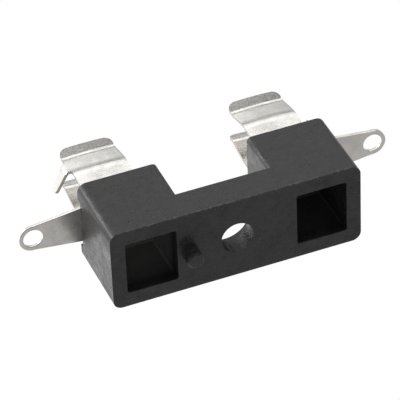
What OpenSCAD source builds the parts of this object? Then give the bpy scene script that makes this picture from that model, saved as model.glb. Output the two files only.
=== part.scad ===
// Single-pole fuse block for 6.35 x 31.75 mm cartridge fuses.
// A moulded base with two hollow towers carries a spring clip, a solder lug
// and a tubular rivet on each tower.
// The origin is on the axis of the mounting hole, in the plane of the mounting face.
// +X runs along the block, +Z points from the mounting face to the clips.

/* [Base moulding] */
// Width of the base, across the fuse
base_w = 12.7; // [11.5:0.1:16]
// Height of the towers above the mounting face
tower_h = 12.2; // [11:0.1:18]
// Length of each tower, along the fuse
tower_len = 11.6; // [11.2:0.1:12.4]
// Thickness of the web between the towers
web_t = 4.7; // [4:0.1:7]
// Radius of the four upright outer edges
outer_corner_r = 1.3; // [0.5:0.1:2]
// Radius of the upright edges that face across the web
inner_corner_r = 0.8; // [0.3:0.1:1.5]
// Radius where a tower rises from the web
saddle_fillet_r = 0.6; // [0.2:0.1:1.5]

/* [Tower pockets] */
// Wall between a pocket and the end of the block
end_wall = 2.1; // [1.5:0.1:2.4]
// Wall between a pocket and the long side of the block
side_wall = 2.2; // [1.4:0.1:2.6]
// Wall between a pocket and the middle of the block
inner_wall = 2.1; // [1.8:0.1:2.6]
// Roof that the rivet clamps, under the terminal recess
roof_t = 2.4; // [1.6:0.1:3.2]
// Radius of the upright edges inside a pocket
pocket_corner_r = 0.35; // [0.15:0.05:1]

/* [Mounting] */
// Diameter of the mounting hole
hole_d = 4.7; // [3.2:0.1:5.2]
// Diameter of the recess for the screw head
head_recess_d = 7.3; // [6.2:0.1:9]
// Depth of the recess for the screw head
head_recess_depth = 2.1; // [1:0.1:2.6]
// Diameter of the locating pin
pin_d = 2.4; // [1.6:0.1:3]
// Height of the locating pin
pin_h = 2.4; // [1:0.1:4]
// Chamfer round the end of the locating pin
pin_chamfer = 0.2; // [0.1:0.05:0.4]
// Distance from the mounting hole to the locating pin
pin_offset = 7; // [5.5:0.1:7.4]

/* [Fuse and clips] */
// Diameter of the fuse's end cap
fuse_d = 6.35; // [6:0.05:6.8]
// Distance between the middles of the two clips
clip_spacing = 25.4; // [24.8:0.1:26.4]
// How much nearer to the end of the block a clip stands than the middle of its tower
clip_shift = 0.25; // [0:0.05:0.4]
// How much narrower a clip is at its knees than the fuse
grip = 0.15; // [0.05:0.05:0.8]
// How much narrower a clip is at its feet than at its knees
foot_taper = 1.4; // [0:0.1:1.8]
// Gap between the arms at the neck
neck_gap = 4.1; // [3.4:0.1:5]
// Gap between the arms at the flared mouth
mouth_gap = 5.3; // [4.8:0.1:7]
// Width of a clip, along the fuse
clip_w = 7.8; // [6.5:0.1:8.6]
// Sheet thickness of a clip
clip_t = 0.4; // [0.25:0.05:0.6]
// Height of the knees above the clip's seat
knee_h = 6.8; // [5.8:0.1:7.6]
// Height of the slanting stretch, from the knees up to the necks
slant_rise = 4.3; // [3.8:0.1:5.5]
// Height of the flared tips above the necks
flare_rise = 1.7; // [1.4:0.1:4]
// Inside radius of the bend at each foot
foot_bend_r = 0.4; // [0.2:0.1:0.6]
// Radius of the bend at each knee, at the middle of the sheet
knee_bend_r = 5; // [0.6:0.1:7]
// Radius of the bend at each neck, at the middle of the sheet
neck_bend_r = 1.8; // [0.4:0.1:2.6]
// Radius of the free corners of the arms
tip_corner_r = 1.1; // [0.4:0.1:2]

/* [End stop] */
// Length of the end stop, from the corner of its bend to its rounded end
stop_len = 3.6; // [2.8:0.1:4.5]
// Width of the end stop where it leaves the arm
stop_root = 2.6; // [1.8:0.1:2.9]
// Width of the end stop at its rounded end
stop_tip = 1.5; // [1:0.1:2]
// Angle through which the end stop is bent inwards
stop_bend = 58; // [35:1:70]
// Radius of the end stop's bend, at the middle of the sheet
stop_bend_r = 1; // [0.3:0.1:1.4]
// Radius of the fillets where the end stop's edges meet the arm's edge
stop_fillet_r = 0.4; // [0.2:0.05:0.6]

/* [Solder lugs] */
// Sheet thickness of a lug
lug_t = 0.5; // [0.3:0.05:0.7]
// Width of a lug inside its tower
lug_tail_w = 7.4; // [6.4:0.1:8]
// Width of a lug where it leaves its tower
lug_root_w = 5.8; // [4.6:0.1:6.2]
// Distance from the end of the block to the middle of the eye
lug_reach = 7; // [5:0.1:10]
// Outer radius of the eye
eye_r = 2; // [1.8:0.1:2.3]
// Diameter of the hole in the eye
eye_hole_d = 2.8; // [2:0.1:3]
// Radius of the shoulders between the root and the tail
shoulder_r = 0.5; // [0.2:0.1:0.8]
// How far the shoulders lie inside the end of the block
shoulder_inset = 0.5; // [0.2:0.1:0.8]

/* [Rivets] */
// Outer diameter of a rivet's barrel
rivet_d = 3.1; // [2.6:0.1:3.4]
// Wall of a rivet's barrel
rivet_wall = 0.35; // [0.25:0.05:0.5]
// Thickness of a rivet's flange
rivet_flange_h = 0.35; // [0.25:0.05:0.5]
// Diameter of a rivet's rolled end, inside the pocket
rivet_roll_d = 4.4; // [4.2:0.1:5]
// Height of a rivet's rolled end
rivet_roll_h = 0.55; // [0.4:0.05:0.6]

/* [Clearances] */
// How far the underside of a lug lies below the top of its tower
recess_depth = 0.8; // [0.6:0.05:1.2]
// Gap between a sheet part and the wall of its recess, on each side
recess_clear = 0.2; // [0.1:0.05:0.3]
// Gap between a rivet's barrel and each hole that it fills
rivet_clear = 0.05; // [0.03:0.01:0.1]
// Gap between a rivet's flange and the bends at the clip's feet
flange_clear = 0.05; // [0.02:0.01:0.1]

/* [Hidden] */
$fn = 64;
// Small overlap that joins or cuts solids cleanly
eps = 0.05;
// Largest angle between two points of a bend in the sheet
bend_step = 6;
base_len = clip_spacing + tower_len - 2 * clip_shift;
end_x = base_len / 2;
clip_x = clip_spacing / 2;
recess_floor = tower_h - recess_depth;
recess_w = lug_tail_w + 2 * recess_clear;
pocket_len = tower_len - end_wall - inner_wall;
pocket_x = end_x - end_wall - pocket_len / 2;
pocket_h = recess_floor - roof_t;
seat_z = recess_floor + lug_t;
rivet_hole_d = rivet_d + 2 * rivet_clear;
// Half widths of the clip at the middle of its sheet
knee_y = (fuse_d - grip + clip_t) / 2;
foot_y = knee_y - foot_taper / 2;
neck_y = (neck_gap + clip_t) / 2;
mouth_y = (mouth_gap + clip_t) / 2;
neck_h = knee_h + slant_rise;
tip_h = neck_h + flare_rise;
// Lean of an arm below its knee, outwards, and above it, inwards
leg_lean = atan((knee_y - foot_y) / (knee_h - clip_t / 2));
slant = atan((knee_y - neck_y) / slant_rise);
// Length that the knee's bend takes from the slanting stretch
knee_bend_len = knee_bend_r * tan((leg_lean + slant) / 2);
rivet_bore_r = rivet_d / 2 - rivet_wall;
rivet_flange_r = foot_y - clip_t / 2 - foot_bend_r - flange_clear;

function unit(v) = v / norm(v);
function left_of(v) = [-v.y, v.x];
function turned(v, a) = [v.x * cos(a) - v.y * sin(a), v.x * sin(a) + v.y * cos(a)];

// One bend of a sheet at corner b of the path a, b, c: points moved sideways by off, left positive
function bend(a, b, c, r, off) =
    let (p = unit(b - a), q = unit(c - b), s = sign(p.x * q.y - p.y * q.x))
    let (angle = acos(p * q), n = left_of(p) * s, hub = b - p * r * tan(angle / 2) + n * r)
    let (steps = ceil(angle / bend_step))
    [for (i = [0:steps]) hub - turned(n, s * angle * i / steps) * (r - s * off)];

// One side of a sheet that follows a path and is bent with the given radii
function side(path, radii, off) =
    let (last = len(path) - 1)
    concat([path[0] + left_of(unit(path[1] - path[0])) * off],
        [for (i = [1:last - 1]) each bend(path[i - 1], path[i], path[i + 1], radii[i - 1], off)],
        [path[last] + left_of(unit(path[last] - path[last - 1])) * off]);

function reversed(list) = [for (i = [len(list) - 1:-1:0]) list[i]];
function mirrored(list) = [for (p = reversed(list)) [-p.x, p.y]];

// Section of a bent sheet
module sheet(path, radii, t) {
    polygon(concat(side(path, radii, t / 2), reversed(side(path, radii, -t / 2))));
}

// Rectangle from x0 to x1, with its corners rounded by r0 at x0 and by r1 at x1
module plate(x0, x1, w, r0, r1) {
    difference() {
        translate([x0, -w / 2]) square([x1 - x0, w]);
        for (s = [-1, 1]) {
            round_off([x0, s * w / 2], [1, -s], r0);
            round_off([x1, s * w / 2], [-1, -s], r1);
        }
    }
}

// What the rounding of a square corner removes. Seen from the corner, the plate lies towards inside.
module round_off(corner, inside, r) {
    translate(corner) difference() {
        translate([inside.x > 0 ? -eps : -r, inside.y > 0 ? -eps : -r]) square(r + eps);
        translate(r * inside) circle(r);
    }
}

// The right-hand copy is the left-hand one turned about the block's middle
module at_end(end) {
    rotate([0, 0, end < 0 ? 0 : 180]) children();
}

module base() {
    color("#1d1d1f") difference() {
        union() {
            linear_extrude(web_t) plate(-end_x, end_x, base_w, outer_corner_r, outer_corner_r);
            for (end = [-1, 1]) at_end(end) tower();
            locating_pin();
        }
        mounting_hole();
        for (end = [-1, 1]) at_end(end) {
            pocket();
            terminal_recess();
        }
    }
}

module tower() {
    inner_x = -end_x + tower_len;
    linear_extrude(tower_h) plate(-end_x, inner_x, base_w, outer_corner_r, inner_corner_r);
    // Fillet between the tower and the web, as wide as the flat of the tower's inner wall
    translate([inner_x, base_w / 2 - inner_corner_r, web_t]) rotate([90, 0, 0])
        linear_extrude(base_w - 2 * inner_corner_r) difference() {
            translate([-eps, -eps]) square(saddle_fillet_r + eps);
            translate([saddle_fillet_r, saddle_fillet_r]) circle(saddle_fillet_r);
        }
}

// Square hollow, open in the mounting face
module pocket() {
    pocket_w = base_w - 2 * side_wall;
    translate([-pocket_x, 0, -eps]) linear_extrude(pocket_h + eps)
        plate(-pocket_len / 2, pocket_len / 2, pocket_w, pocket_corner_r, pocket_corner_r);
}

// Recess in the top of a tower, open at the end of the block, that keeps lug and clip from turning
module terminal_recess() {
    recess_end = -clip_x + clip_w / 2 + recess_clear;
    translate([0, 0, recess_floor]) linear_extrude(recess_depth + eps)
        translate([-end_x - eps, -recess_w / 2]) square([recess_end + end_x + eps, recess_w]);
    translate([-clip_x, 0, pocket_h - eps]) cylinder(h = roof_t + 2 * eps, d = rivet_hole_d);
}

module mounting_hole() {
    translate([0, 0, -eps]) cylinder(h = web_t + 2 * eps, d = hole_d);
    translate([0, 0, web_t - head_recess_depth]) cylinder(h = head_recess_depth + eps, d = head_recess_d);
}

module locating_pin() {
    translate([-pin_offset, 0, -pin_h]) rotate_extrude() polygon([
        [0, 0], [pin_d / 2 - pin_chamfer, 0], [pin_d / 2, pin_chamfer],
        [pin_d / 2, pin_h + eps], [0, pin_h + eps]
    ]);
}

// Flat solder lug: a wide tail under the clip, two shoulders, and a tongue that narrows to the eye
module lug() {
    eye_x = -end_x - lug_reach;
    color("#c2bfb9") translate([0, 0, recess_floor]) difference() {
        union() {
            linear_extrude(lug_t) lug_tail();
            translate([eye_x, 0, 0]) linear_extrude(lug_t) lug_tongue();
            translate([eye_x, 0, 0]) cylinder(h = lug_t, r = eye_r);
        }
        translate([eye_x, 0, -eps]) cylinder(h = lug_t + 2 * eps, d = eye_hole_d);
        translate([-clip_x, 0, -eps]) cylinder(h = lug_t + 2 * eps, d = rivet_hole_d);
    }
}

module lug_tail() {
    tail_start = -end_x + shoulder_inset;
    tail_end = -clip_x + clip_w / 2;
    plate(tail_start, tail_end, lug_tail_w, shoulder_r, shoulder_r);
}

// Seen from the eye's middle: the tongue's edges run to the sides of the eye,
// and end just inside its circle
module lug_tongue() {
    root = [lug_reach + shoulder_inset + eps, lug_root_w / 2];
    touch_r = eye_r - eps;
    bearing = atan2(root.y, root.x) + acos(touch_r / norm(root));
    touch = touch_r * [cos(bearing), sin(bearing)];
    polygon([touch, root, [root.x, -root.y], [touch.x, -touch.y]]);
}

// Spring clip: a base plate, two arms and one end stop, folded from one strip
module clip() {
    color("#dcdcd9") translate([-clip_x, 0, seat_z]) difference() {
        union() {
            clip_arms();
            end_stop();
        }
        translate([0, 0, -eps]) cylinder(h = clip_t + 2 * eps, d = rivet_hole_d);
    }
}

module clip_arms() {
    mid = clip_t / 2;
    half = [[foot_y, mid], [knee_y, knee_h], [neck_y, neck_h], [mouth_y, tip_h]];
    foot_r = foot_bend_r + mid;
    intersection() {
        rotate([90, 0, 90]) translate([0, 0, -clip_w / 2]) linear_extrude(clip_w)
            sheet(concat(mirrored(half), half),
                [neck_bend_r, knee_bend_r, foot_r, foot_r, knee_bend_r, neck_bend_r], clip_t);
        clip_front();
    }
}

// Outline of the arms seen along the block's width, with their free corners rounded
module clip_front() {
    reach = 2 * tip_h;
    top = tip_h + clip_t / 2;
    translate([0, reach / 2, 0]) rotate([90, 0, 0]) linear_extrude(reach) difference() {
        translate([-clip_w / 2, -eps]) square([clip_w, top + eps]);
        for (s = [-1, 1]) round_off([s * clip_w / 2, top], [-s, -1], tip_corner_r);
    }
}

// Tongue at the outer edge of one arm, bent inwards across the end of the fuse.
// It grows from the slanting stretch just above the knee, and leans with that stretch.
module end_stop() {
    rise = (knee_bend_len + stop_root) / 2;
    span = stop_root + 2 * stop_fillet_r;
    translate([-clip_w / 2, -knee_y + rise * sin(slant), knee_h + rise * cos(slant)])
        rotate([-slant, 0, 0]) intersection() {
            translate([0, 0, -span / 2]) linear_extrude(span) stop_section();
            translate([0, stop_len, 0]) rotate([90, 0, 0]) linear_extrude(2 * stop_len) {
                stop_outline();
                stop_fillets();
            }
        }
}

// The end stop seen from above: a short stretch of the arm, the bend and the straight tongue.
// The bend starts at the arm's edge, where x is 0.
module stop_section() {
    corner = [-stop_bend_r * tan(stop_bend / 2), 0];
    tip = corner + stop_len * [-cos(stop_bend), sin(stop_bend)];
    sheet([[clip_t, 0], corner, tip], [stop_bend_r], clip_t);
}

// The end stop seen along the block's width: it narrows to a round end, foreshortened by its bend
module stop_outline() {
    tip_x = -stop_bend_r * tan(stop_bend / 2) - stop_len * cos(stop_bend);
    tip_r = stop_tip / 2;
    round_x = tip_x + tip_r * cos(stop_bend);
    polygon([
        [clip_t, -stop_root / 2], [clip_t, stop_root / 2], [0, stop_root / 2],
        for (a = [90:bend_step:270]) [round_x + tip_r * cos(stop_bend) * cos(a), tip_r * sin(a)],
        [0, -stop_root / 2]
    ]);
}

// Fillets between the arm's edge and both edges of the end stop
module stop_fillets() {
    r = stop_fillet_r;
    for (s = [-1, 1]) difference() {
        translate([-r, s > 0 ? 0 : -stop_root / 2 - r]) square([r + eps, stop_root / 2 + r]);
        translate([-r, s * (stop_root / 2 + r)]) circle(r);
    }
}

// Tubular rivet: flange on the clip, barrel through clip, lug and roof, rolled end in the pocket
module rivet() {
    low = pocket_h - rivet_roll_h;
    seat = seat_z + clip_t;
    high = seat + rivet_flange_h;
    color("#c9c9c6") translate([-clip_x, 0, 0]) rotate_extrude() difference() {
        union() {
            translate([rivet_bore_r, low]) square([rivet_wall, high - low]);
            rim_section(rivet_flange_r, seat, rivet_flange_h);
            rim_section(rivet_roll_d / 2, low, rivet_roll_h);
        }
        // Both rims turn outwards from the bore in a round edge
        round_off([rivet_bore_r, high], [1, -1], rivet_wall / 2);
        round_off([rivet_bore_r, low], [1, 1], rivet_wall);
    }
}

// Section of a rim that stands out from the barrel, with a round outer edge
module rim_section(r, z, h) {
    translate([rivet_bore_r, z]) square([r - h / 2 - rivet_bore_r, h]);
    translate([r - h / 2, z + h / 2]) circle(d = h);
}

base();
at_end(-1) lug();  // lug_left
at_end(1) lug();  // lug_right
at_end(-1) clip();  // clip_left
at_end(1) clip();  // clip_right
at_end(-1) rivet();  // rivet_left
at_end(1) rivet();  // rivet_right
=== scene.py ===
# %% [markdown]
# # A fuse block, dressed around its packed frame
#
# The real object is a black moulded block with two hollow towers. Each tower carries a bright
# spring clip for one end cap of a cartridge fuse, a flat solder lug and the rivet that holds them.
# The frame below brings the solids in at their real size, in metres. This script gives them the
# finish that a photographer would see: rolled sheet metal with soft bends, and a semi-matte
# moulding.

# %% Load the frame
import math
import bmesh
import bpy
import numpy as np
from mathutils import Matrix, Vector


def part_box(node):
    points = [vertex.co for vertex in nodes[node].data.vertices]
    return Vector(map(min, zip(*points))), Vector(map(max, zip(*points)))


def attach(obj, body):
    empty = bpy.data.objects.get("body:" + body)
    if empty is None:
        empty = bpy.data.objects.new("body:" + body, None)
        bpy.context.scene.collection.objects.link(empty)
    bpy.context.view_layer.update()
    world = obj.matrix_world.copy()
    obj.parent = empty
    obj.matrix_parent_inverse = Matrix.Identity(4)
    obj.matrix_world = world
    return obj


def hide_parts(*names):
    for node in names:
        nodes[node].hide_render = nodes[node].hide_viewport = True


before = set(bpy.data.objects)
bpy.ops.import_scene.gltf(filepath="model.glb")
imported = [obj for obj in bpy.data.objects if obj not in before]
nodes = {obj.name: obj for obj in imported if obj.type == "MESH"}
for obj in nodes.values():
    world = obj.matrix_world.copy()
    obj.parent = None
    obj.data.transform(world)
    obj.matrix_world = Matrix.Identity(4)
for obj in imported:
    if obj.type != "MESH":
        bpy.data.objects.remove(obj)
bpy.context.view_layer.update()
MM = 0.001
print("CAD nodes:", sorted(nodes))

# %% [markdown]
# ## Camera
#
# The photograph looks up at the mounting face from the left, with the block lying on its side.
# A long lens far away keeps the block's edges nearly parallel. The camera is placed by its
# bearing round the block, and then rolled, because the block's long side isn't level in the
# picture.

# %% Camera
CAMERA_AIM = Vector((-3.375, -4.15, 4.785)) * MM
CAMERA_DISTANCE = 431.4 * MM
CAMERA_AZIMUTH = math.radians(-24.11)
CAMERA_ELEVATION = math.radians(-47.16)
CAMERA_ROLL = math.radians(33.99)
# Lens and sensor are in millimetres, as Blender wants them, and the clip distances in metres
CAMERA_LENS = 287.7
SENSOR_WIDTH = 36.0
NEAREST_SEEN, FARTHEST_SEEN = 0.01, 10.0


def place_camera():
    """Puts the camera on a ball round its aim, and turns it about its own line of sight."""
    data = bpy.data.cameras.new("camera")
    data.sensor_width = SENSOR_WIDTH
    data.lens = CAMERA_LENS
    data.clip_start = NEAREST_SEEN
    data.clip_end = FARTHEST_SEEN
    camera = bpy.data.objects.new("camera", data)
    bpy.context.scene.collection.objects.link(camera)
    back = Vector((
        math.sin(CAMERA_AZIMUTH) * math.cos(CAMERA_ELEVATION),
        -math.cos(CAMERA_AZIMUTH) * math.cos(CAMERA_ELEVATION),
        math.sin(CAMERA_ELEVATION),
    ))
    camera.location = CAMERA_AIM + back * CAMERA_DISTANCE
    upright = (-back).to_track_quat("-Z", "Y").to_matrix()
    camera.rotation_euler = (upright @ Matrix.Rotation(-CAMERA_ROLL, 3, "Z")).to_euler()
    bpy.context.scene.camera = camera
    return camera


camera = place_camera()
bpy.context.scene.view_settings.view_transform = "Standard"
print("camera at", [round(v / MM, 1) for v in camera.location], "mm")

# %% [markdown]
# ## From arrays to meshes
#
# A surface is easiest to write as a grid: every point is a function of two numbers, and the faces
# follow from the grid's rows and columns. Several grids that share an edge become one skin when
# their doubled points are merged.

# %% Mesh helpers
MERGE_WITHIN = 0.0005 * MM


def grid_faces(rows, columns, first=0):
    """Four-cornered faces of a grid of rows x columns points, numbered row by row from first."""
    index = first + np.arange(rows * columns).reshape(rows, columns)
    corners = [index[:-1, :-1], index[1:, :-1], index[1:, 1:], index[:-1, 1:]]
    return np.stack(corners, -1).reshape(-1, 4)


def joined(*grids):
    """Points and faces of several grids, each an array of rows x columns x 3, as one list each."""
    points = np.concatenate([grid.reshape(-1, 3) for grid in grids])
    starts = np.cumsum([0] + [grid.shape[0] * grid.shape[1] for grid in grids])
    faces = [grid_faces(*grid.shape[:2], first) for grid, first in zip(grids, starts)]
    return points, np.concatenate(faces)


def add_mesh(name, points, faces):
    """Makes an object whose mesh holds the points, in metres, and merges points that coincide."""
    mesh = bpy.data.meshes.new(name)
    mesh.from_pydata(points.tolist(), [], faces.tolist())
    piece = bpy.data.objects.new(name, mesh)
    bpy.context.scene.collection.objects.link(piece)
    clean_mesh(mesh)
    return piece


def clean_mesh(mesh, flat_angle=None):
    """Merges doubled points, joins faces of one plane if asked, and points all faces outwards."""
    skin = bmesh.new()
    skin.from_mesh(mesh)
    bmesh.ops.remove_doubles(skin, verts=skin.verts, dist=MERGE_WITHIN)
    if flat_angle is not None:
        bmesh.ops.dissolve_limit(skin, angle_limit=flat_angle, verts=skin.verts, edges=skin.edges)
    bmesh.ops.recalc_face_normals(skin, faces=skin.faces)
    skin.to_mesh(mesh)
    skin.free()
    mesh.shade_smooth()


def round_edges(piece, width, segments=2, angle=math.radians(32)):
    """Breaks every edge sharper than angle with a small round, and keeps flat faces flat."""
    bevel = piece.modifiers.new("broken edges", "BEVEL")
    bevel.width = width
    bevel.segments = segments
    bevel.limit_method = "ANGLE"
    bevel.angle_limit = angle
    bevel.use_clamp_overlap = True
    weighted = piece.modifiers.new("flat faces stay flat", "WEIGHTED_NORMAL")
    weighted.weight = 100


print("a grid of 3 x 4 points has", len(grid_faces(3, 4)), "faces")

# %% [markdown]
# ## Moulded base, lugs and rivets
#
# These solids already have the right shape, but a moulding has no knife-sharp edges: each edge is
# a tiny round that catches a line of light. A copy of the packed mesh gets its doubled points
# merged and its flat faces joined, and a bevel then rounds its edges. The packed solid itself is
# untouched.

# %% Copies with broken edges
FLAT_WITHIN = math.radians(0.5)
MOULDED_EDGE = 0.14 * MM
STAMPED_EDGE = 0.07 * MM
RIVET_EDGE = 0.03 * MM


def dressed_copy(node, name, edge, segments=2):
    """Copies a CAD node's mesh under a new name, and rounds the copy's edges."""
    mesh = nodes[node].data.copy()
    mesh.name = name
    mesh.materials.clear()
    clean_mesh(mesh, FLAT_WITHIN)
    piece = bpy.data.objects.new(name, mesh)
    bpy.context.scene.collection.objects.link(piece)
    round_edges(piece, edge, segments)
    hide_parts(node)
    return piece


SIDES = ("left", "right")
moulding = dressed_copy("base", "moulding", MOULDED_EDGE, 3)
lugs = [dressed_copy(f"lug_{side}", f"tin_lug_{side}", STAMPED_EDGE) for side in SIDES]
rivets = [dressed_copy(f"rivet_{side}", f"eyelet_{side}", RIVET_EDGE) for side in SIDES]
for piece in (moulding, *lugs, *rivets):
    print(piece.name, len(piece.data.polygons), "faces before rounding")

# %% [markdown]
# ## Spring clips
#
# A clip starts as a flat blank: a strip with rounded ends, a rivet hole in its middle and a tongue
# at one edge. Folding bends the strip at its feet, knees and necks, and then bends the tongue
# inwards. The code does the same. It walks along the strip's centre line once, and afterwards
# places any point of the flat blank by how far along and how far across it lies.

# %% Sizes of a clip
clip_low, clip_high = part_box("clip_left")
SHEET = 0.4 * MM
SEAT_Z = clip_low.z
CLIP_WIDTH = 7.8 * MM
CLIP_X = clip_high.x - CLIP_WIDTH / 2
KNEE_HEIGHT, NECK_HEIGHT, TIP_HEIGHT = 6.8 * MM, 11.1 * MM, 12.8 * MM
FOOT_Y, KNEE_Y, NECK_Y, MOUTH_Y = 2.6 * MM, 3.3 * MM, 2.25 * MM, 2.85 * MM
# The solid bends in facets. Rolled metal is softer there, so the upper bends are a little wider
BENDS = {"foot": 0.6 * MM, "knee": 6.4 * MM, "neck": 2.3 * MM}
SOLID_KNEE = 5.0 * MM
print("clip seat at z", round(SEAT_Z / MM, 2), "mm, middle at x", round(CLIP_X / MM, 2), "mm")


# %% Centre line of an arm
ARC_STEP = math.radians(2)


def walk(corners, radii):
    """Walks straight stretches joined by arcs, and returns the points and their distances.

    At a corner that turns by an angle A with radius r, the arc starts r tan(A/2) before the corner.
    Its hub lies r to the side, and its points are hub + r (cos, sin) of evenly spaced bearings.
    """
    corners = np.array(corners)
    stretches = [corners[:1]]
    for before, corner, after, radius in zip(corners, corners[1:], corners[2:], radii):
        come = (corner - before) / np.linalg.norm(corner - before)
        leave = (after - corner) / np.linalg.norm(after - corner)
        turn = math.atan2(come[0] * leave[1] - come[1] * leave[0], come @ leave)
        side = math.copysign(1.0, turn)
        start = corner - come * radius * math.tan(abs(turn) / 2)
        hub = start + radius * side * np.array([-come[1], come[0]])
        bearings = math.atan2(*(start - hub)[::-1])
        bearings = bearings + np.linspace(0, turn, max(3, int(abs(turn) / ARC_STEP) + 1))
        stretches.append(hub + radius * np.stack([np.cos(bearings), np.sin(bearings)], -1))
    stretches.append(corners[-1:])
    line = np.concatenate(stretches)
    distance = np.concatenate([[0.0], np.cumsum(np.linalg.norm(np.diff(line, axis=0), axis=1))])
    return line, distance


# Half way through the sheet, where it is neither stretched nor squeezed by a bend
MIDDLE = SHEET / 2
arm_line, arm_distance = walk(
    [(0, MIDDLE), (FOOT_Y, MIDDLE), (KNEE_Y, KNEE_HEIGHT), (NECK_Y, NECK_HEIGHT),
     (MOUTH_Y, TIP_HEIGHT)],
    BENDS.values(),
)
ARM_LENGTH = arm_distance[-1]
print("developed length of one arm:", round(ARM_LENGTH / MM, 2), "mm")


def arm_point(along):
    """Outward reach and height of the centre line at a developed distance from the middle."""
    return tuple(np.interp(along, arm_distance, column) for column in arm_line.T)


# %% [markdown]
# The arms are one grid each. Their free corners are round, so the grid narrows over the last
# millimetre by a quarter circle. Round the rivet hole a grid can't be square: there, rings run from
# the circle out to a square, ring by ring, and the square's sides match the grids beside it.

# %% The flat blank
TIP_CORNER = 1.1 * MM
CROWN = 0.13 * MM
CROWN_FADE = 2 * MM
HOLE_RADIUS = 1.6 * MM
HOLE_SQUARE = 1.95 * MM
HOLE_CELLS, HOLE_RINGS, STRIP_CELLS = 16, 3, 8
ACROSS = np.concatenate([
    np.linspace(-CLIP_WIDTH / 2, -HOLE_SQUARE, STRIP_CELLS + 1)[:-1],
    np.linspace(-HOLE_SQUARE, HOLE_SQUARE, HOLE_CELLS + 1),
    np.linspace(HOLE_SQUARE, CLIP_WIDTH / 2, STRIP_CELLS + 1)[1:],
])


def half_width(along):
    """Half the blank's width: constant, then w/2 - r + sqrt(r^2 - d^2) over the corner's last r."""
    into = np.clip(along - (ARM_LENGTH - TIP_CORNER), 0, TIP_CORNER)
    return CLIP_WIDTH / 2 - TIP_CORNER + np.sqrt(TIP_CORNER ** 2 - into ** 2)


def crown(along, x):
    """How far pressing pushed the sheet out: CROWN (1 - (2x/w)^2), fading in above the foot."""
    rise = np.clip((along - FOOT_Y) / CROWN_FADE, 0, 1)
    return CROWN * rise * (1 - (2 * x / CLIP_WIDTH) ** 2)


def arm_grid(along, across, side):
    """Points of one arm: x across the strip, y and z from the centre line, mirrored by side."""
    reach, height = arm_point(along)
    x = across[None, :] * (half_width(along) / (CLIP_WIDTH / 2))[:, None]
    y = side * (reach[:, None] + crown(along[:, None], x))
    return np.stack([x, y, np.broadcast_to(height[:, None], x.shape)], -1)


def ring_grid():
    """Rings from the hole's circle out to the square: circle + (square - circle) x share."""
    side = np.linspace(-HOLE_SQUARE, HOLE_SQUARE, HOLE_CELLS + 1)[:-1]
    edge = np.full(HOLE_CELLS, HOLE_SQUARE)
    square = np.concatenate([
        np.stack([side, -edge], -1), np.stack([edge, side], -1),
        np.stack([-side, edge], -1), np.stack([-edge, -side], -1),
    ])
    square = np.concatenate([square, square[:1]])
    circle = HOLE_RADIUS * square / np.linalg.norm(square, axis=1)[:, None]
    share = np.linspace(0, 1, HOLE_RINGS + 1)[:, None, None]
    flat = circle + (square - circle) * share
    return np.concatenate([flat, np.full((*flat.shape[:2], 1), MIDDLE)], -1)


def flat_grid(across, along):
    """A flat rectangle of the sheet, with a row for each x and a column for each y."""
    return np.stack(np.meshgrid(across, along, [MIDDLE], indexing="ij"), -1)[:, :, 0]


def base_grids():
    """The flat between the two feet: rings round the hole and a strip at each side of them."""
    middle = ACROSS[STRIP_CELLS:-STRIP_CELLS]
    strips = (ACROSS[:STRIP_CELLS + 1], ACROSS[-STRIP_CELLS - 1:])
    return [ring_grid(), *(flat_grid(strip, middle) for strip in strips)]


print("the flat between the feet has", sum(len(joined(grid)[1]) for grid in base_grids()), "faces")

# %% [markdown]
# The end stop is a tongue at one edge of an arm. It was bent inwards, so that a fuse can't slide
# out endways. It is a grid too: one parameter runs out from the arm, round the bend and on to the
# tip, and the other runs across the tongue. Its root shares its points with the arm's edge.

# %% The tongue, bent inwards across the end of the fuse
TONGUE_ROOT = 2.6 * MM
TONGUE_TIP = 1.5 * MM
TONGUE_FILLET = 0.4 * MM
TONGUE_BEND = math.radians(58)
TONGUE_BEND_R = 1.0 * MM
# From the corner of the bend to the tip, measured outside the bend
TONGUE_REACH = 3.6 * MM
# Along the sheet: the arc, and what is left of the reach beyond the arc's tangent point
TONGUE_ARC = TONGUE_BEND_R * TONGUE_BEND
TONGUE_LENGTH = TONGUE_REACH + TONGUE_ARC - TONGUE_BEND_R * math.tan(TONGUE_BEND / 2)
TONGUE_CELLS, BEND_ROWS, STRAIGHT_ROWS, TIP_ROWS = 12, 12, 8, 10
# The last row stops short of the tip's point by this angle, so that no face shrinks to nothing
TIP_GAP = 0.05
SLANT = math.atan2(KNEE_Y - NECK_Y, NECK_HEIGHT - KNEE_HEIGHT)
LEG_LEAN = math.atan2(KNEE_Y - FOOT_Y, KNEE_HEIGHT - MIDDLE)
# How far the middle of the root lies above the knee, along the slant: clear of the solid's bend
TONGUE_RISE = (SOLID_KNEE * math.tan((SLANT + LEG_LEAN) / 2) + TONGUE_ROOT) / 2
TONGUE_MIDDLE_Z = KNEE_HEIGHT + TONGUE_RISE * math.cos(SLANT)
TONGUE_MIDDLE = np.interp(TONGUE_MIDDLE_Z, arm_line[:, 1], arm_distance)


def tongue_width(out):
    """Width at a distance out: fillets f - sqrt(f^2 - d^2) at the root, a taper, a round end."""
    tip = TONGUE_TIP / 2
    straight = TONGUE_LENGTH - tip
    taper = TONGUE_ROOT + (TONGUE_TIP - TONGUE_ROOT) * np.clip(out / straight, 0, 1)
    near = np.clip(TONGUE_FILLET - out, 0, TONGUE_FILLET)
    fillet = TONGUE_FILLET - np.sqrt(TONGUE_FILLET ** 2 - near ** 2)
    into = np.clip(out - straight, 0, tip)
    round_end = 2 * np.sqrt(np.maximum(tip ** 2 - into ** 2, 0))
    return np.where(into > 0, round_end, taper + 2 * fillet)


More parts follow.
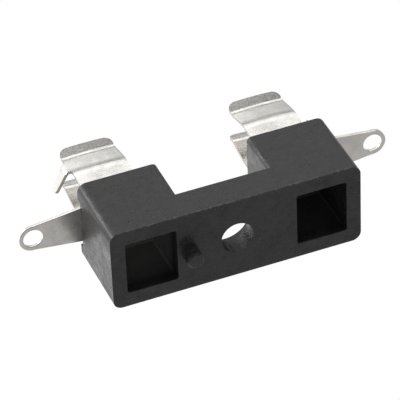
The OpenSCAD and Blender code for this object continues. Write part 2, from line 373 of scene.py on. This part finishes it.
def tongue_grid():
    """The tongue, bent out of the slanting arm's plane, and the lines that its root shares.

    At a distance s out and a bend radius r, the arc's angle is a = s / r, up to the whole bend.
    The point lies r sin(a) away from the arm and r (1 - cos(a)) inwards. Beyond the arc it goes
    straight.
    """
    tip = TONGUE_TIP / 2
    straight = TONGUE_LENGTH - tip
    out = np.concatenate([
        np.linspace(0, TONGUE_ARC, BEND_ROWS + 1)[:-1],
        np.linspace(TONGUE_ARC, straight, STRAIGHT_ROWS + 1)[:-1],
        straight + tip * np.sin(np.linspace(0, math.pi / 2 - TIP_GAP, TIP_ROWS)),
    ])
    arc = np.minimum(out / TONGUE_BEND_R, TONGUE_BEND)
    beyond = np.maximum(out - TONGUE_ARC, 0)
    away = TONGUE_BEND_R * np.sin(arc) + beyond * math.cos(TONGUE_BEND)
    inward = TONGUE_BEND_R * (1 - np.cos(arc)) + beyond * math.sin(TONGUE_BEND)
    share = np.linspace(-0.5, 0.5, TONGUE_CELLS + 1)
    along = TONGUE_MIDDLE + tongue_width(out)[:, None] * share[None, :]
    reach, height = arm_point(along)
    x = np.broadcast_to(-CLIP_WIDTH / 2 - away[:, None], along.shape)
    y = -(reach - inward[:, None] * math.cos(SLANT))
    z = height - inward[:, None] * math.sin(SLANT)
    return np.stack([x, y, z], -1), along[0]


print("the tongue is", round(TONGUE_LENGTH / MM, 2), "mm long along the sheet")

# %% [markdown]
# Both clips come from one stamping. The right one is the left one's blank turned half round, so
# their tongues close the two ends of the fuse. The grids have no thickness yet: Solidify gives the
# sheet its 0.4 mm, half to each side, and a bevel takes the sharpness off its cut edges.

# %% Fold the two clips
CUT_ROUND = 0.06 * MM
CUT_ANGLE = math.radians(50)
TIP_LINES = 9
# Lines of the grid closer than this are the same line
SAME_LINE = 0.001 * MM


def lines_along(root_lines):
    """Where the arm's grid has a line: at its bends, round its tip, and at the tongue's root."""
    tip_turn = np.linspace(0, math.pi / 2, TIP_LINES)
    plain = np.concatenate([
        [HOLE_SQUARE], arm_distance[arm_distance > HOLE_SQUARE],
        ARM_LENGTH - TIP_CORNER * (1 - np.sin(tip_turn)),
    ])
    beside = (plain < root_lines[0] - SAME_LINE) | (plain > root_lines[-1] + SAME_LINE)
    return np.unique(np.round(np.concatenate([plain[beside], root_lines]), 9))


def spring_clip(name, turned):
    """One clip as a sheet of no thickness, which Solidify and a small bevel turn into metal."""
    tongue, root_lines = tongue_grid()
    along = lines_along(root_lines)
    arms = [arm_grid(along, ACROSS, side) for side in (-1, 1)]
    points, faces = joined(*arms, *base_grids(), tongue)
    if turned:
        points = points * [-1, -1, 1]
    points = points + [-CLIP_X if turned else CLIP_X, 0, SEAT_Z]
    piece = add_mesh(name, points, faces)
    solid = piece.modifiers.new("sheet", "SOLIDIFY")
    solid.thickness = SHEET
    solid.offset = 0
    solid.use_even_offset = True
    # The rim's faces take the second material: the bare cut edge, darkened partly as painted shade
    solid.material_offset_rim = 1
    round_edges(piece, CUT_ROUND, 2, CUT_ANGLE)
    return piece


clips = [
    spring_clip("spring_clip_left", False),
    spring_clip("spring_clip_right", True),
]
for side, piece in zip(SIDES, clips):
    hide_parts(f"clip_{side}")
    print(piece.name, len(piece.data.polygons), "faces in the sheet")

# %% [markdown]
# ## Node groups
#
# Rolled metal and moulded plastic share two things: a fine grain, and soft blotches where hands and
# tools have been. Each is built once, as a node group with named inputs and outputs, and every
# material then uses it with values of its own. A small helper keeps the node lists readable. Object
# coordinates are in metres, so a noise scale of 3600 means 3600 waves a metre, or 0.3 mm each.

# %% Node helpers
class Board:
    """A node tree that nodes are added to by type, with values or sockets for their inputs."""

    def __init__(self, tree):
        self.tree = tree

    def add(self, kind, outputs=0, settings=None, **inputs):
        """Adds a node, sets its settings and inputs, and returns one output socket, or the node."""
        node = self.tree.nodes.new(kind)
        for name, value in (settings or {}).items():
            setattr(node, name, value)
        for name, value in inputs.items():
            self.feed(node, name, value)
        return node if outputs is None else node.outputs[outputs]

    def feed(self, node, name, value):
        """Joins a socket to an input, or writes a value there. in_0 names the first input."""
        key = int(name[3:]) if name.startswith("in_") else name.replace("_", " ")
        socket = node.inputs[key]
        if isinstance(value, bpy.types.NodeSocket):
            self.tree.links.new(value, socket)
        else:
            socket.default_value = value

    def math(self, operation, first, second=0.0):
        """One step of arithmetic."""
        return self.add("ShaderNodeMath", 0, {"operation": operation}, in_0=first, in_1=second)

    def remap(self, value, low, high, new_low=0.0, new_high=1.0, smooth=False):
        """Stretches a value from low..high to new_low..new_high, and holds it inside."""
        kind = "SMOOTHSTEP" if smooth else "LINEAR"
        return self.add("ShaderNodeMapRange", 0, {"interpolation_type": kind}, Value=value,
                        From_Min=low, From_Max=high, To_Min=new_low, To_Max=new_high)

    def noise(self, vector, scale, detail=2.0, roughness=0.5):
        """Soft random cloud between about 0.3 and 0.7."""
        return self.add("ShaderNodeTexNoise", Vector=vector, Scale=scale, Detail=detail,
                        Roughness=roughness)

    def stretched(self, vector, factors):
        """Scales a vector by its own factor along each axis."""
        return self.add("ShaderNodeMapping", Vector=vector, Scale=factors)

    def blend(self, share, first, second):
        """Mixes two colours, each a socket or plain red, green and blue, and returns a colour."""
        mix = self.add("ShaderNodeMix", None, {"data_type": "RGBA"})
        for index, value in ((0, share), (6, first), (7, second)):
            self.feed(mix, f"in_{index}", (*value, 1) if isinstance(value, tuple) else value)
        return mix.outputs[2]

    def part(self, vector, letter):
        """One coordinate of a vector."""
        return self.add("ShaderNodeSeparateXYZ", letter, Vector=vector)

    def times(self, first, second):
        """The product of two values."""
        return self.math("MULTIPLY", first, second)

    def plus(self, first, second):
        """The sum of two values."""
        return self.math("ADD", first, second)


def new_group(name, inputs, outputs):
    """An empty node group with named inputs and outputs, and a board to fill it with nodes."""
    tree = bpy.data.node_groups.new(name, "ShaderNodeTree")
    for label, kind, value in inputs:
        socket = tree.interface.new_socket(label, in_out="INPUT", socket_type=f"NodeSocket{kind}")
        if value is not None:
            socket.default_value = value
    for label in outputs:
        tree.interface.new_socket(label, in_out="OUTPUT", socket_type="NodeSocketFloat")
    board = Board(tree)
    return board, tree.nodes.new("NodeGroupInput"), tree.nodes.new("NodeGroupOutput")


def new_material(name):
    """A material with a Principled BSDF, its board, and the Object coordinates."""
    material = bpy.data.materials.new(name)
    material.use_nodes = True
    board = Board(material.node_tree)
    coordinates = board.add("ShaderNodeTexCoord", "Object")
    return material, board, material.node_tree.nodes["Principled BSDF"], coordinates


def use_group(board, tree, **inputs):
    """Places a node group in a material and returns its outputs by name."""
    return board.add("ShaderNodeGroup", None, {"node_tree": tree}, **inputs).outputs


print("the board can add:", [name for name in vars(Board) if not name.startswith("_")])


# %% Groups: grain and smudges
def make_grain():
    """Fine tooth of a surface: noise of two sizes, less the rare round pits of a cell pattern."""
    board, given, out = new_group(
        "grain",
        [("Vector", "Vector", None), ("Scale", "Float", 4000.0), ("Pits", "Float", 0.3)],
        ["Height", "Pit"],
    )
    place, scale, depth = (given.outputs[name] for name in ("Vector", "Scale", "Pits"))
    fine = board.noise(place, scale, 3.0, 0.6)
    coarse = board.noise(place, board.times(scale, 0.22), 2.0)
    cells = board.add("ShaderNodeTexVoronoi", "Distance", Vector=place,
                      Scale=board.times(scale, 0.5))
    pit = board.times(board.remap(cells, 0.0, 0.28, 1.0, 0.0, smooth=True), depth)
    tooth = board.plus(board.times(fine, 0.55), board.times(coarse, 0.45))
    board.tree.links.new(board.math("SUBTRACT", tooth, pit), out.inputs["Height"])
    board.tree.links.new(pit, out.inputs["Pit"])
    return board.tree


def make_smudges():
    """Soft blotches, a broad noise whose place another noise bends, and a sparse set of specks."""
    board, given, out = new_group(
        "smudges",
        [("Vector", "Vector", None), ("Scale", "Float", 300.0), ("Speck Scale", "Float", 2500.0)],
        ["Blotch", "Speck"],
    )
    place, scale, speck_scale = (given.outputs[name] for name in ("Vector", "Scale", "Speck Scale"))
    bend = board.add("ShaderNodeTexNoise", "Color", Vector=place, Scale=board.times(scale, 0.6),
                     Detail=1.0)
    moved = board.add("ShaderNodeVectorMath", 0, {"operation": "MULTIPLY_ADD"},
                      in_0=bend, in_1=(2 * MM, 2 * MM, 2 * MM), in_2=place)
    cloud = board.noise(moved, scale, 4.0, 0.55)
    specks = board.noise(place, speck_scale, 2.0, 0.7)
    board.tree.links.new(board.remap(cloud, 0.33, 0.67, smooth=True), out.inputs["Blotch"])
    board.tree.links.new(board.remap(specks, 0.62, 0.74, smooth=True), out.inputs["Speck"])
    return board.tree


GRAIN = make_grain()
SMUDGES = make_smudges()
print("node groups:", GRAIN.name, SMUDGES.name)

# %% [markdown]
# ## Black moulding
#
# The block is a black filled thermoset. Its skin is semi-matte with a very fine tooth, a few pale
# specks where the filler shows, and broad blotches. Some places look different: the pockets keep
# the dull skin of the mould's cores, with painted light that grows paler deeper in and in the
# pocket at -X; the towers' upright outer corners carry a painted highlight; the parting line round
# the foot is chipped here and there; and dark and pale streaks down the bore are a painted
# reflection. Each place is a box in Object coordinates.

# %% Places on the moulding
tower_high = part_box("base")[1]
POCKETS = {"centre": (12.4 * MM, 0.0, 4.6 * MM), "half": (3.8 * MM, 4.25 * MM, 4.5 * MM),
           "soft": 0.15 * MM}
HIGHLIGHT_CORNERS = {"centre": (tower_high.x, tower_high.y, 6.0 * MM),
           "half": (0.62 * MM, 0.62 * MM, 7.5 * MM), "soft": 0.5 * MM}
FOOT_EDGE = {"centre": (0.0, tower_high.y, 0.0), "half": (20 * MM, 0.35 * MM, 0.35 * MM),
             "soft": 0.2 * MM}
BORE = {"centre": (0.0, 0.0, 1.4 * MM), "half": (2.45 * MM, 2.45 * MM, 1.38 * MM),
        "soft": 0.05 * MM}


def inside_box(board, spot, centre, half, soft):
    """1 inside a box given by its centre and half sizes, 0 outside, with a soft edge.

    X and Y are taken without their signs, so the box counts at both ends and both sides. The
    distance to a pair of walls is half - abs(position - centre), and the least one counts.
    """
    parts = board.add("ShaderNodeSeparateXYZ", None, Vector=spot).outputs
    places = [board.math("ABSOLUTE", parts["X"]), board.math("ABSOLUTE", parts["Y"]), parts["Z"]]
    rests = []
    for place, middle, reach in zip(places, centre, half):
        off = board.math("ABSOLUTE", board.math("SUBTRACT", place, middle))
        rests.append(board.math("SUBTRACT", reach, off))
    least = board.math("MINIMUM", board.math("MINIMUM", rests[0], rests[1]), rests[2])
    return board.remap(least, 0.0, soft, smooth=True)


print("towers end at x", round(tower_high.x / MM, 2), "and y", round(tower_high.y / MM, 2), "mm")

# %% Moulding material
DARK_SKIN, PALE_SKIN = (0.006, 0.0057, 0.0057), (0.062, 0.0602, 0.0602)
FILLER = (0.08, 0.08, 0.085)
CORNER_HIGHLIGHT = (0.3, 0.295, 0.29)
CHIPPED = (0.075, 0.073, 0.072)
CORE_SKIN, POCKET_LIGHT = (0.008, 0.008, 0.008), (0.32, 0.32, 0.315)
# Painted reflection: dark and pale streaks down the bore's wall
BORE_REFLECTION_DARK, BORE_REFLECTION_PALE = (0.002, 0.002, 0.002), (0.07, 0.068, 0.066)
# Painted light in a pocket grows with the depth, and the pocket at +X gets a quarter of the other's
POCKET_LIGHT_FROM, POCKET_LIGHT_FULL, RIGHT_POCKET_LIGHT = 1.5 * MM, 8.5 * MM, 0.25
CORE_ROUGHNESS = 0.9
MOULDED_TOOTH = 0.1 * MM
REFLECTION_STREAKS = (1500, 1500, 90)


def moulding_colour(board, spot, grain, smudge, dull):
    """Colour of the skin, with each place's colour laid over it in turn: chips, and painted
    highlight, reflection and light.
    """
    shade = board.plus(board.times(smudge["Blotch"], 0.35),
                       board.remap(grain["Height"], 0.34, 0.6, 0.0, 0.5))
    colour = board.blend(shade, DARK_SKIN, PALE_SKIN)
    colour = board.blend(board.times(smudge["Speck"], 0.7), colour, FILLER)
    # Painted highlight: the towers' upright outer corners are painted pale, where their rounds
    # catch a line of light
    corner_highlight = board.times(inside_box(board, spot, **HIGHLIGHT_CORNERS),
                         board.remap(grain["Height"], 0.25, 0.6))
    colour = board.blend(corner_highlight, colour, CORNER_HIGHLIGHT)
    nicks = board.remap(board.noise(spot, 1300.0, 3.0, 0.7), 0.5, 0.58, smooth=True)
    chipped = board.times(inside_box(board, spot, **FOOT_EDGE), nicks)
    colour = board.blend(chipped, colour, CHIPPED)
    # Painted reflection: streaks that run down the bore stand for the reflections on its glossy
    # wall
    streak = board.noise(board.stretched(spot, REFLECTION_STREAKS), 1.0, 3.0, 0.6)
    bore_reflection = board.blend(board.remap(streak, 0.42, 0.6), BORE_REFLECTION_DARK, BORE_REFLECTION_PALE)
    colour = board.blend(inside_box(board, spot, **BORE), colour, bore_reflection)
    # Painted light: deep in the pockets the colour goes paler, most of all in the pocket at -X
    depth = board.remap(board.part(spot, "Z"), POCKET_LIGHT_FROM, POCKET_LIGHT_FULL)
    amount = board.remap(board.part(spot, "X"), -1.0 * MM, 1.0 * MM, 1.0, RIGHT_POCKET_LIGHT)
    pocket_light = board.blend(board.times(depth, amount), CORE_SKIN, POCKET_LIGHT)
    return board.blend(dull, colour, pocket_light)


def make_moulding():
    """The whole finish: colour by place, gloss that blotches and tooth vary, and a fine bump."""
    material, board, shader, spot = new_material("black_moulding")
    grain = use_group(board, GRAIN, Vector=spot, Scale=3600.0, Pits=0.3)
    smudge = use_group(board, SMUDGES, Vector=spot, Scale=260.0, Speck_Scale=2600.0)
    dull = inside_box(board, spot, **POCKETS)
    board.feed(shader, "Base Color", moulding_colour(board, spot, grain, smudge, dull))
    skin = board.plus(board.remap(smudge["Blotch"], 0.0, 1.0, 0.32, 0.48),
                      board.remap(grain["Height"], 0.34, 0.62, -0.09, 0.09))
    board.feed(shader, "Roughness", board.math("MAXIMUM", skin, board.times(dull, CORE_ROUGHNESS)))
    bump = board.add("ShaderNodeBump", Strength=1.0, Distance=MOULDED_TOOTH, Height=grain["Height"])
    board.feed(shader, "Normal", bump)
    return material


black_moulding = make_moulding()
print(black_moulding.name, "has", len(black_moulding.node_tree.nodes), "nodes")

# %% [markdown]
# ## Plated metal
#
# The clips are bright-tinned spring bronze, and the lugs duller tinned brass. Tin is a pale,
# slightly warm metal. Rolling leaves fine lines along the strip, plating leaves a mottle, and
# handling leaves duller blotches; above the necks, the flares are also darker in small patches. The
# strip was plated before it was cut, so the cut edges of the clips are bare and rougher; their dark
# colour is partly bare metal and partly painted shade for the thin edges, which lie in shadow.
# The same recipe serves all four finishes, with other values.

# %% Metal materials
METAL_TOOTH = 0.02 * MM
MOTTLE_FADE = 0.3 * MM
ROLLED_ALONG_X, ROLLED_BOTH_WAYS = (300, 5000, 5000), (900, 900, 900)


def darker(colour, share):
    """The colour at a share of its brightness."""
    return tuple(share * part for part in colour)


def make_plate(name, bright, dull, roughness, grain_scale, tooth, rolling, lines,
               mottled_from=None):
    """A plated metal: mottled colour and gloss, fine tooth, and rolling lines.

    Above the height given as the last argument, the colour is darker in small patches.
    """
    material, board, shader, spot = new_material(name)
    grain = use_group(board, GRAIN, Vector=spot, Scale=grain_scale, Pits=0.5)
    smudge = use_group(board, SMUDGES, Vector=spot, Scale=420.0, Speck_Scale=grain_scale * 0.8)
    colour = board.blend(board.times(smudge["Blotch"], 0.6), bright, dull)
    colour = board.blend(board.times(smudge["Speck"], 0.6), colour, darker(dull, 0.5))
    if mottled_from is not None:
        patches = board.remap(board.noise(spot, 3000.0, 4.0, 0.75), 0.42, 0.62)
        above = board.remap(board.part(spot, "Z"), mottled_from, mottled_from + MOTTLE_FADE,
                            0.0, 0.75)
        colour = board.blend(board.times(patches, above), colour, darker(dull, 0.62))
    board.feed(shader, "Base Color", colour)
    shader.inputs["Metallic"].default_value = 1.0
    rough = board.remap(smudge["Blotch"], 0.0, 1.0, roughness - 0.04, roughness + 0.06)
    board.feed(shader, "Roughness", board.plus(rough, board.times(grain["Pit"], 0.2)))
    rolled = board.noise(board.stretched(spot, rolling), 1.0, 2.0, 0.6)
    height = board.plus(grain["Height"], board.times(rolled, lines))
    bump = board.add("ShaderNodeBump", Strength=tooth, Distance=METAL_TOOTH, Height=height)
    board.feed(shader, "Normal", bump)
    return material


tin_clip = make_plate(
    "tin_clip", (0.87, 0.85, 0.815), (0.75, 0.73, 0.695), roughness=0.21, grain_scale=5000.0,
    tooth=0.9, rolling=ROLLED_ALONG_X, lines=0.5, mottled_from=SEAT_Z + NECK_HEIGHT + 0.2 * MM,
)
tin_lug = make_plate(
    "tin_lug", (0.87, 0.84, 0.8), (0.7, 0.67, 0.635), roughness=0.27, grain_scale=4500.0,
    tooth=0.45, rolling=ROLLED_ALONG_X, lines=0.5,
)
# Partly painted shade: the cut edges' dark colour stands for bare metal and for the shadow on the
# thin edges
shaded_cut_edge = make_plate(
    "shaded_cut_edge", (0.5, 0.46, 0.41), (0.3, 0.27, 0.24), roughness=0.42, grain_scale=5000.0,
    tooth=0.6, rolling=ROLLED_BOTH_WAYS, lines=0.4,
)
nickel_rivet = make_plate(
    "nickel_rivet", (0.78, 0.76, 0.72), (0.66, 0.64, 0.6), roughness=0.24, grain_scale=6000.0,
    tooth=0.2, rolling=ROLLED_BOTH_WAYS, lines=0.2,
)
print("metals:", [metal.name for metal in (tin_clip, tin_lug, shaded_cut_edge, nickel_rivet)])

# %% Dress the pieces
DRESS = [
    ([moulding], [black_moulding], "moulding"),
    (clips, [tin_clip, shaded_cut_edge], "clip_plate"),
    (lugs, [tin_lug], "lug_plate"),
    (rivets, [nickel_rivet], "rivet_plate"),
]
for pieces, finishes, slot in DRESS:
    for piece in pieces:
        for finish in finishes:
            piece.data.materials.append(finish)
        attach(piece, "root")
        print(piece.name, "is", " and ".join(finish.name for finish in finishes))

# %% [markdown]
# ## Floor, world and lamps
#
# The floor is a plain pale sheet under the locating pin. The camera looks up from below it, so the
# sheet shows only its upper face and lets everything through from underneath. The camera sees a
# plain white world. Diffuse light is soft, and stronger from above than from below.
#
# Metal shows what stands round it, so it sees a studio of its own: a white table behind the block,
# dim cards between, and a bright band where the softbox hangs. They are told apart by their angle
# round the block's long axis.

# %% Floor
FLOOR_Z = -2.5 * MM
FLOOR_HALF = 0.6
PAPER, PAPER_ROUGHNESS = (0.86, 0.86, 0.86, 1), 0.9


def make_floor():
    """One large square, pale from above and clear from below, that only the camera sees."""
    edge = np.array([-FLOOR_HALF, FLOOR_HALF])
    grid = np.stack(np.meshgrid(edge, edge, [FLOOR_Z], indexing="ij"), -1)[:, :, 0]
    piece = add_mesh("floor", *joined(grid))
    if piece.data.polygons[0].normal.z < 0:
        piece.data.flip_normals()
    material, board, shader, _ = new_material("floor_paper")
    board.feed(shader, "Base Color", PAPER)
    board.feed(shader, "Roughness", PAPER_ROUGHNESS)
    through = board.add("ShaderNodeBsdfTransparent")
    underside = board.add("ShaderNodeNewGeometry", "Backfacing")
    surface = board.add("ShaderNodeMixShader", Fac=underside, in_1=shader.outputs[0], in_2=through)
    board.feed(material.node_tree.nodes["Material Output"], "Surface", surface)
    piece.data.materials.append(material)
    for ray in ("visible_diffuse", "visible_glossy", "visible_transmission", "visible_shadow"):
        setattr(piece, ray, False)
    return piece


floor = make_floor()
print("floor faces", [round(v) for v in floor.data.polygons[0].normal])

# %% World
# Level of diffuse light from straight below and from straight above
WORLD_LEVEL = (0.35, 0.8)
# Brightness that metal sees, by the angle from +Z towards -Y: (degrees, level)
CARDS = [
    (-180, 0.12), (-155, 0.42), (-140, 0.46), (-115, 0.5), (-60, 1.0), (-28, 1.0), (-12, 0.6),
    (-4, 0.42), (4, 0.42), (9, 0.7), (13, 0.86), (19, 0.68), (25, 0.28), (32, 0.22), (58, 0.15),
    (66, 0.2), (74, 0.46), (90, 0.52), (104, 0.12), (180, 0.12),
]


def card_colour(board, parts):
    """The card's level at a direction's angle round X, from the list, joined by straight lines."""
    angle = board.math("ARCTAN2", board.times(parts["Y"], -1.0), parts["Z"])
    ramp = board.add("ShaderNodeValToRGB", None, Fac=board.remap(angle, -math.pi, math.pi))
    stops = ramp.color_ramp.elements
    for index, (degrees, level) in enumerate(CARDS):
        place = (degrees + 180) / 360
        # A new ramp has two stops already
        stop = stops[index] if index < 2 else stops.new(place)
        stop.position = place
        stop.color = (level, level, level, 1)
    return ramp.outputs["Color"]


def bright_side(board, parts):
    """The share by which the cards overhead are brighter towards -X, the side lamp's end."""
    broad = board.remap(parts["X"], -0.45, 0.2, 0.26, 0.0)
    near = board.remap(parts["X"], 0.21, 0.33, 0.55, -0.12)
    overhead = board.remap(parts["Z"], 0.0, 0.5)
    not_behind = board.remap(parts["Y"], 0.3, 0.5, 1.0, 0.0)
    return board.times(board.times(board.plus(broad, near), overhead), not_behind)


def make_world():
    """White for the camera, the cards for gloss, and a plain soft level for diffuse light."""
    world = bpy.data.worlds.new("studio")
    bpy.context.scene.world = world
    world.use_nodes = True
    board = Board(world.node_tree)
    direction = board.add("ShaderNodeTexCoord", "Generated")
    parts = board.add("ShaderNodeSeparateXYZ", None, Vector=direction).outputs
    diffuse = board.remap(parts["Z"], -1.0, 1.0, *WORLD_LEVEL)
    glossy = board.times(card_colour(board, parts), board.plus(bright_side(board, parts), 1.0))
    path = board.add("ShaderNodeLightPath", None).outputs
    tone = board.blend(path["Is Glossy Ray"], diffuse, glossy)
    seen = board.math("MAXIMUM", path["Is Camera Ray"], path["Is Transmission Ray"])
    background = world.node_tree.nodes["Background"]
    board.feed(background, "Color", board.blend(seen, tone, (1, 1, 1)))
    background.inputs["Strength"].default_value = 1.0
    return world


print("world:", make_world().name, "with", len(CARDS), "card edges")

# %% [markdown]
# Three rectangular lamps face the block from half a metre away. A wide softbox hangs over its near
# side. A small, strong lamp stands at its -X end, and a large, weak card behind that end sends back
# the light of the table.

# %% Lamps
LAMP_AIM = Vector((0, 0, 10 * MM))
LAMP_DISTANCE = 0.5
KEY_ANGLE = math.radians(47)
# Name, bearing from the aim, width and height in metres, and brightness of the lamp's face
LAMPS = [
    ("softbox", (0.15, -math.sin(KEY_ANGLE), math.cos(KEY_ANGLE)), (0.7, 0.19), 1.1),
    ("side lamp", (-0.6, -0.32, 0.73), (0.2, 0.12), 9.0),
    ("table card", (-0.38, 0.6, 0.7), (0.34, 0.3), 0.4),
]


def hang_lamp(name, bearing, size, level):
    """A rectangular lamp whose face has the brightness level: power = level x pi x area."""
    data = bpy.data.lights.new(name, "AREA")
    data.shape = "RECTANGLE"
    data.size, data.size_y = size
    data.energy = level * math.pi * size[0] * size[1]
    lamp = bpy.data.objects.new(name, data)
    bpy.context.scene.collection.objects.link(lamp)
    away = Vector(bearing).normalized()
    lamp.location = LAMP_AIM + away * LAMP_DISTANCE
    lamp.rotation_euler = away.to_track_quat("Z", "Y").to_euler()
    lamp.visible_camera = False
    return lamp


for lamp in LAMPS:
    print(hang_lamp(*lamp).name, "at level", lamp[-1])

# %% [markdown]
# ## Finish
#
